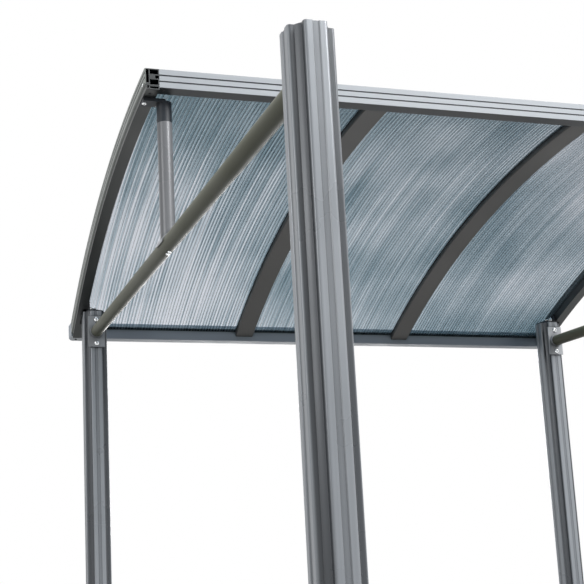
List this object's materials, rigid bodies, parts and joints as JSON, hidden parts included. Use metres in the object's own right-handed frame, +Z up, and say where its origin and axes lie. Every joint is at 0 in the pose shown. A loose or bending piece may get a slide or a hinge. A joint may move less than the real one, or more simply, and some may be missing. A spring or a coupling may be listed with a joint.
{
  "type": "grill gazebo",
  "caption": "Open aluminium grill gazebo: four fluted posts on base plates, side tubes with struts, and a curved twin-wall roof over the rear half.",
  "frame": {"origin": "on the ground, under the middle of the whole frame with its roof overhang", "axes": "+Z up, +Y to the rear where the roof comes down, +X to the right side"},
  "size_m": [1.53, 1.799, 2.582],
  "materials": {
    "post": "satin anodised",
    "foot": "satin powder coat",
    "tube_flange": "satin powder coat",
    "tube": "satin powder coat",
    "bracket": "matt black-blue",
    "rail": "satin anodised",
    "rib": "satin anodised",
    "panel": "twin-wall polycarbonate, smoked blue-grey"
  },
  "bodies": {
    "root": {"post_front_left": "post", "post_front_right": "post", "post_rear_left": "post", "post_rear_right": "post", "foot_front_left": "foot", "foot_front_right": "foot", "foot_rear_left": "foot", "foot_rear_right": "foot", "tube_flange_front_left": "tube_flange", "tube_flange_front_right": "tube_flange", "tube_flange_rear_left": "tube_flange", "tube_flange_rear_right": "tube_flange", "side_tube_left": "tube", "side_tube_right": "tube", "strut_saddle_left": "tube_flange", "strut_saddle_right": "tube_flange", "strut_left": "tube", "strut_right": "tube", "strut_bracket_left": "bracket", "strut_bracket_right": "bracket", "roof_bracket_left": "bracket", "roof_bracket_right": "bracket", "front_beam": "rail", "rear_beam": "rail", "side_rib_left": "rib", "side_rib_right": "rib", "middle_rib_left": "rib", "middle_rib_right": "rib", "roof_panel_left": "panel", "roof_panel_middle": "panel", "roof_panel_right": "panel"}
  },
  "joints": []
}
